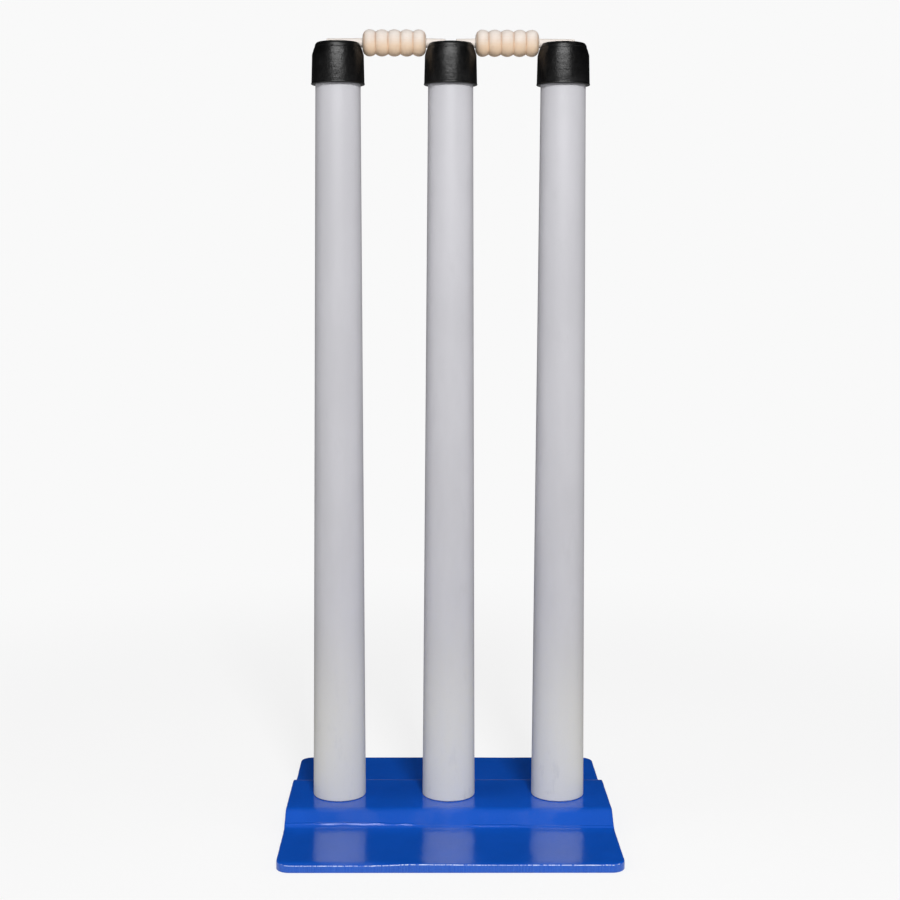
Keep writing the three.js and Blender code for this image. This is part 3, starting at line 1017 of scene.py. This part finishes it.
def cap_mesh(settings):
    """The rubber cup with its lip, leaning shoulder and round crown, before its groove is cut."""
    foot = CAP_LOW.z
    ceiling = CAP_HIGH.z - settings.roof
    outline = (
        (0.0, ceiling, 0),
        (tube_radius(ceiling) + CAP_FIT, ceiling, 0.001),
        (tube_radius(foot) + CAP_FIT, foot, 0.0008),
        (CAP_RADIUS, foot, 0.0006),
        (CAP_RADIUS, foot + settings.lip_height * 0.6, 0.0005),
        (CAP_RADIUS - settings.lip_proud, foot + settings.lip_height, 0.0012),
        (settings.shoulder_diameter / 2, CAP_HIGH.z - settings.shoulder_drop, 0),
    )
    return turned("rubber_cap", rounded(outline) + cap_surface(settings)[1:], CAP_SIDES)


def groove_tool(settings):
    """The groove along X: a flat floor and leaning walls, flared at the outside of the cap."""
    half = settings.groove_reach
    top = CAP_HIGH.z
    reach = settings.shoulder_diameter / 2 + GROOVE_OVERRUN
    sections = []
    for i in range(GROOVE_STATIONS + 1):
        x = reach * (2 * i / GROOVE_STATIONS - 1)
        leaving = max(0.0, (abs(x) - reach + GROOVE_OVERRUN + GROOVE_EXIT) / GROOVE_EXIT)
        low = top - half - GROOVE_EXIT_FALL * leaving**2
        surface = max(low + GROOVE_LEAST_WALL, cap_height_at(settings, math.hypot(x, half)))
        edge = min(settings.groove_edge, (surface - low) * 0.4)
        wall = surface - edge
        wall_y = half + settings.groove_draft * (wall - low) / half
        corner = min(half * GROOVE_CORNER, (wall - low) * 0.6)
        side = rounded([(0, low, 0), (half, low, corner), (wall_y, wall, 0)])
        for k in range(1, FLARE_STEPS + 1):
            lean = FLARE_ANGLE * k / FLARE_STEPS
            out, up = edge * (1 - math.cos(lean)) * FLARE_OUT, edge * math.sin(lean) * FLARE_UP
            side.append((wall_y + out, wall + up))
        side.append((side[-1][0], top + GROOVE_OVERRUN))
        section = [(-y, z) for y, z in reversed(side[1:])] + side
        sections.append([(x, y, z) for y, z in section])
    return lofted("groove_tool", sections, capped=True)


BUSH_SIDES = 96
BUSH_EDGE = 0.0005
BUSH_LEAD_IN = 0.0015
BOX_FACES = ((0, 1, 3, 2), (4, 6, 7, 5), (0, 4, 5, 1), (2, 3, 7, 6), (0, 2, 6, 4), (1, 5, 7, 3))


def bush_mesh(settings, x):
    """The moulded bush: a skin, a floor and a sleeve turned in one, with ribs joined in."""
    low, high = BUSH_LOW.z, BUSH_HIGH.z
    wall = settings.wall
    bore = PEG_RADIUS + settings.running_fit
    inside = bpy.context.scene.stumps_tube.wall + settings.static_fit
    skin_low, skin_high = tube_radius(low) - inside, tube_radius(high) - inside
    floor = low + settings.floor
    outline = (
        (bore, low, BUSH_LEAD_IN),
        (skin_low, low, BUSH_EDGE),
        (skin_high, high, BUSH_EDGE),
        (skin_high - wall, high, BUSH_EDGE),
        (skin_low - wall, floor, BUSH_EDGE),
        (bore + wall, floor, BUSH_EDGE),
        (bore + wall, high, BUSH_EDGE),
        (bore, high, BUSH_EDGE),
    )
    shell = turned("moulded_bush", ring_profile(outline, 3), BUSH_SIDES, x)
    reaches = (bore + wall / 2, skin_high - wall / 2)
    sides = (-settings.rib / 2, settings.rib / 2)
    ends = (floor - settings.floor / 2, high - settings.rib_drop)
    ribs = []
    for i in range(settings.rib_count):
        swing = Matrix.Rotation((i + 0.5) * 2 * math.pi / settings.rib_count, 4, "Z")
        corners = [swing @ Vector((r, y, z)) for r in reaches for y in sides for z in ends]
        ribs.append(along_row(mesh_of("bush_rib", corners, BOX_FACES), x))
    return combine(shell, ribs, "UNION")


BAIL_SIDES = 112
BEAD_STEPS = 9
TIP_ROUNDING = 0.0009
SPIGOT_ROUNDING = 0.0005


def bail_profile(settings):
    """The bail's profile of (radius, place along its axis), with its barrel centred on zero."""
    crest, end = BAIL_RADIUS, settings.end_diameter / 2
    spigot, tip = settings.spigot_diameter / 2, settings.tip_diameter / 2
    half = settings.barrel_length / 2
    outer = -half - settings.long_spigot
    inner = outer + (BAIL_HIGH.x - BAIL_LOW.x)
    bead = settings.bead_pitch
    last = bead * (settings.bead_count - 1) / 2
    sag = crest - settings.valley_diameter / 2
    arc = ((bead / 2) ** 2 + sag**2) / (2 * sag)
    widest = math.asin(bead / 2 / arc)
    long_end, short_end = (
        [
            (0.0, point, 0),
            (tip, point, TIP_ROUNDING),
            (spigot, face, SPIGOT_ROUNDING),
            (end, face, 0),
        ]
        for point, face in ((outer, -half), (inner, half))
    )
    profile = rounded(long_end)
    for i in range(settings.bead_count):
        middle = i * bead - last
        for k in range(-BEAD_STEPS, BEAD_STEPS + 1):
            share = k / BEAD_STEPS
            if (i == 0 and k < 0) or (i == settings.bead_count - 1 and k > 0):
                lean = share * math.pi / 2
                radius = end + (crest - end) * math.cos(lean)
                profile.append((radius, middle + (half - last) * math.sin(lean)))
            else:
                lean = share * widest
                profile.append((crest - arc + arc * math.cos(lean), middle + arc * math.sin(lean)))
    return profile + rounded(short_end[::-1])


class StumpsBuild:
    """What the operators of this add-on share."""

    bl_options = {"REGISTER", "UNDO"}

    @classmethod
    def poll(cls, context):
        return context.scene is not None


class STUMPS_OT_base(StumpsBuild, bpy.types.Operator):
    """Builds the painted steel base with its plateau, bends and bolt holes"""

    bl_idname = "stumps.base"
    bl_label = "Base"

    def execute(self, context):
        settings = context.scene.stumps_base
        hole = settings.bolt_hole / 2
        low, high = -DRILL_OVERRUN, PLATE_HIGH.z + DRILL_OVERRUN
        profile = [(0, low), (hole, low), (hole, high), (0, high)]
        drills = [turned("drill", profile, DRILL_SIDES, x) for x in STUMP_X.values()]
        mesh = smooth(combine(plate_mesh(settings), drills, "DIFFERENCE"), PLATE_SMOOTH)
        paint = enamel(settings.paint)
        add_piece("painted_base", mesh, paint, "base", "painted_steel", "base_plate")
        return {"FINISHED"}


class STUMPS_OT_fastenings(StumpsBuild, bpy.types.Operator):
    """Builds the pegs with their bolts and washers"""

    bl_idname = "stumps.fastenings"
    bl_label = "Pegs and Fastenings"

    def execute(self, context):
        settings = context.scene.stumps_fastenings
        steel = zinc(settings.steel)
        pieces = (
            ("turned_peg", "peg", peg_mesh),
            ("hex_bolt", "peg_bolt", bolt_mesh),
            ("split_washer", "spring_washer", spring_washer_mesh),
            ("flat_washer", "plain_washer", plain_washer_mesh),
        )
        for side, x in STUMP_X.items():
            for piece, node, build in pieces:
                name, mesh = f"{piece}_{side}", build(settings, x)
                add_piece(name, mesh, steel, "base", "plated_steel", f"{node}_{side}")
        return {"FINISHED"}


class STUMPS_OT_tubes(StumpsBuild, bpy.types.Operator):
    """Builds the three tapered tubes"""

    bl_idname = "stumps.tubes"
    bl_label = "Tubes"

    def execute(self, context):
        settings = context.scene.stumps_tube
        plastic = tube_plastic(settings.plastic, settings.foot_painted_light)
        profile = tube_profile(settings)

        def build(x):
            return turned("tapered_tube", profile, TUBE_SIDES, x)

        add_to_stumps("tapered_tube", "stump_tube", "stump_plastic", plastic, build)
        return {"FINISHED"}


class STUMPS_OT_bushes(StumpsBuild, bpy.types.Operator):
    """Builds the ribbed bushes inside the feet of the tubes"""

    bl_idname = "stumps.bushes"
    bl_label = "Bushes"

    def execute(self, context):
        settings = context.scene.stumps_bush
        plastic = bush_moulding(settings.plastic)

        def build(x):
            return bush_mesh(settings, x)

        add_to_stumps("ribbed_bush", "stump_bush", "bush_plastic", plastic, build)
        return {"FINISHED"}


class STUMPS_OT_caps(StumpsBuild, bpy.types.Operator):
    """Builds the rubber caps with the groove that holds the bails"""

    bl_idname = "stumps.caps"
    bl_label = "Caps"

    def execute(self, context):
        settings = context.scene.stumps_cap
        rubber = cap_rubber(settings.rubber)
        grooved = combine(cap_mesh(settings), [groove_tool(settings)], "DIFFERENCE")

        def build(x):
            return along_row(grooved.copy(), x)

        add_to_stumps("rubber_cap", "stump_cap", "cap_rubber", rubber, build)
        return {"FINISHED"}


class STUMPS_OT_bails(StumpsBuild, bpy.types.Operator):
    """Turns the two wooden bails, each with its long spigot on the outer stump"""

    bl_idname = "stumps.bails"
    bl_label = "Bails"

    def execute(self, context):
        settings = context.scene.stumps_bail
        wood = bail_wood(settings)
        profile = bail_profile(settings)
        reach = settings.barrel_length / 2 + settings.long_spigot
        lying = Matrix.Translation((0, 0, BAIL_HEIGHT)) @ Matrix.Rotation(math.pi / 2, 4, "Y")
        for side, swing in (("left", 0.0), ("right", math.pi)):
            low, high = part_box(f"bail_{side}")
            mesh = turned("turned_bail", profile, BAIL_SIDES)
            mesh.transform(Matrix.Rotation(swing, 4, "Z") @ lying)
            along_row(mesh, low.x + reach if side == "left" else high.x - reach)
            name, node = f"turned_bail_{side}", f"bail_{side}"
            add_piece(name, mesh, wood, node, "turned_wood", node)
        return {"FINISHED"}


SENSOR_WIDTH = 36
LAMP_AIM = Vector((0, 0, 0.36))
# Name, place, width, height, watts, and whether it is the sheen, which only reflections show.
LAMPS = (
    ("key", (0.28, -1.92, 1.52), 0.36, 0.36, 32.5, False),
    ("sheen", (-0.12, -2.6, 2.45), 2.4, 1.6, 106, True),
    ("fill_left", (-2.4, -0.8, 0.6), 1.2, 1.6, 13, False),
    ("fill_right", (2.4, -0.8, 0.6), 1.2, 1.6, 9, False),
    ("rear", (0.2, 3.2, 0.28), 1.6, 0.44, 42, False),
)
BLACK, WHITE = (0, 0, 0), (1, 1, 1)
FADE_START = 0.4
FLOOR_FRONT = (-0.2, 0.1)
SKY_FRONT = (-0.5, 0.3)
HORIZON_END = tuple(math.sin(math.radians(degrees)) for degrees in (2, 7))
OVERHEAD_START = tuple(math.sin(math.radians(degrees)) for degrees in (45, 85))
DARK_SKY = (0.009, 0.009, 0.01)
OVERHEAD_SKY = (0.2, 0.2, 0.205)


class STUMPS_OT_stage(StumpsBuild, bpy.types.Operator):
    """Builds the pale floor and surround, the studio lights and the camera"""

    bl_idname = "stumps.stage"
    bl_label = "Stage"

    def execute(self, context):
        settings = context.scene.stumps_stage
        self.camera(context, settings)
        self.floor(settings)
        self.surround(context, settings)
        for lamp in LAMPS:
            self.lamp(*lamp)
        context.scene.view_settings.view_transform = "Standard"
        return {"FINISHED"}

    def camera(self, context, settings):
        """The camera of the photograph, fitted to the base, the feet and the caps."""
        data = bpy.data.cameras.new("photo_view")
        data.sensor_width = SENSOR_WIDTH
        data.lens = data.sensor_width * settings.focal_share
        data.shift_x = settings.shift_x
        data.shift_y = settings.shift_y
        camera = placed("photo_view", data)
        camera.location = (settings.camera_x, -settings.camera_distance, settings.camera_height)
        turn = Matrix.Rotation(-settings.camera_turn, 3, "Z")
        tilt = Matrix.Rotation(math.pi / 2 - settings.camera_pitch, 3, "X")
        roll = Matrix.Rotation(settings.camera_roll, 3, "Z")
        camera.rotation_euler = (turn @ tilt @ roll).to_euler()
        context.scene.camera = camera

    def floor(self, settings):
        """A floor that glows as pale as the backdrop, but for its shadows, and is clear below."""
        half = settings.floor_size / 2
        corners = [(-half, -half, 0), (half, -half, 0), (half, half, 0), (-half, half, 0)]
        mesh = bpy.data.meshes.new("floor")
        mesh.from_pydata(corners, [], [(0, 1, 2, 3)])
        finish = Finish("pale_floor")
        measure = {"operation": "LENGTH"}
        distance = finish.node("ShaderNodeVectorMath", measure, {0: finish.place}, output="Value")
        reach, bounce = settings.shadow_reach, settings.floor_bounce
        lit = (1 - finish.step(distance, reach * FADE_START, reach)) * settings.shadow_share
        front = finish.step(finish.axis("Y") * -1, *FLOOR_FRONT)
        mirrored = settings.rear_reflection + front * (1 - settings.rear_reflection)
        eye, glossy, both = finish.seen()
        glow = bounce + eye * (1 - bounce) + glossy * (mirrored - bounce)
        glow = glow - both * lit * settings.floor_light
        above = finish.principled(
            Base_Color=finish.blend(lit, BLACK, settings.backdrop),
            Roughness=0.9,
            Specular_IOR_Level=0.0,
            Emission_Color=finish.blend(glow, BLACK, settings.backdrop),
            Emission_Strength=1.0,
        )
        beneath = finish.node("ShaderNodeNewGeometry", output="Backfacing")
        sides = {0: beneath, 1: above, 2: finish.node("ShaderNodeBsdfTransparent")}
        mesh.materials.append(finish.show(finish.node("ShaderNodeMixShader", values=sides)))
        floor = placed("floor", mesh)

    def surround(self, context, settings):
        """Pale to the eye. Reflections see it pale at the horizon, then dark, and grey overhead."""
        world = bpy.data.worlds.new("surround")
        world.use_nodes = True
        context.scene.world = world
        graph = Graph(world.node_tree, "Generated")
        pale = settings.backdrop
        rise = graph.axis("Z")
        front = graph.step(graph.axis("Y") * -1, *SKY_FRONT)
        band = graph.blend(front, tinted(pale, settings.rear_reflection), pale)
        band = graph.blend(graph.step(rise, *HORIZON_END), band, DARK_SKY)
        band = graph.blend(graph.step(rise, *OVERHEAD_START), band, OVERHEAD_SKY)
        strength = settings.rear_ambient + front * (settings.ambient - settings.rear_ambient)
        eye, _, both = graph.seen()
        seen, light = (
            graph.node("ShaderNodeBackground", values={"Color": tone, "Strength": power})
            for tone, power in ((graph.blend(eye, band, pale), 1.0), (WHITE, strength))
        )
        mixed = graph.node("ShaderNodeMixShader", values={0: both, 1: light, 2: seen})
        graph.node("ShaderNodeOutputWorld", values={"Surface": mixed})

    def lamp(self, name, place, width, height, power, sheen):
        data = bpy.data.lights.new(name, "AREA")
        data.shape = "RECTANGLE"
        data.size = width
        data.size_y = height
        data.energy = power
        lamp = placed(name, data)
        lamp.location = place
        lamp.rotation_euler = (LAMP_AIM - Vector(place)).to_track_quat("-Z", "Y").to_euler()
        lamp.visible_camera = False
        lamp.visible_diffuse = not sheen
        lamp.visible_glossy = sheen


BUILDERS = (
    STUMPS_OT_stage,
    STUMPS_OT_base,
    STUMPS_OT_fastenings,
    STUMPS_OT_tubes,
    STUMPS_OT_bushes,
    STUMPS_OT_caps,
    STUMPS_OT_bails,
)

SETTINGS = {
    "stumps_base": StumpsBaseSettings,
    "stumps_fastenings": StumpsFasteningSettings,
    "stumps_tube": StumpsTubeSettings,
    "stumps_bush": StumpsBushSettings,
    "stumps_cap": StumpsCapSettings,
    "stumps_bail": StumpsBailSettings,
    "stumps_stage": StumpsStageSettings,
}


class STUMPS_PT_panel(bpy.types.Panel):
    """Lists the steps that build the stumps"""

    bl_idname = "STUMPS_PT_panel"
    bl_label = "Cricket Stumps"
    bl_space_type = "VIEW_3D"
    bl_region_type = "UI"
    bl_category = "Stumps"

    def draw(self, context):
        for builder in BUILDERS:
            self.layout.operator(builder.bl_idname)
        for group in SETTINGS:
            box = self.layout.box()
            settings = getattr(context.scene, group)
            for name in settings.__annotations__:
                box.prop(settings, name)


def register():
    for name, group in SETTINGS.items():
        bpy.utils.register_class(group)
        setattr(bpy.types.Scene, name, bpy.props.PointerProperty(type=group))
    for builder in (*BUILDERS, STUMPS_PT_panel):
        bpy.utils.register_class(builder)


def unregister():
    for builder in (STUMPS_PT_panel, *reversed(BUILDERS)):
        bpy.utils.unregister_class(builder)
    for name, group in SETTINGS.items():
        delattr(bpy.types.Scene, name)
        bpy.utils.unregister_class(group)


def main():
    register()
    bpy.ops.stumps.stage()
    bpy.ops.stumps.base()
    bpy.ops.stumps.fastenings()
    bpy.ops.stumps.tubes()
    bpy.ops.stumps.bushes()
    bpy.ops.stumps.caps()
    bpy.ops.stumps.bails()
    bpy.context.view_layer.update()


if __name__ == "__main__":
    main()
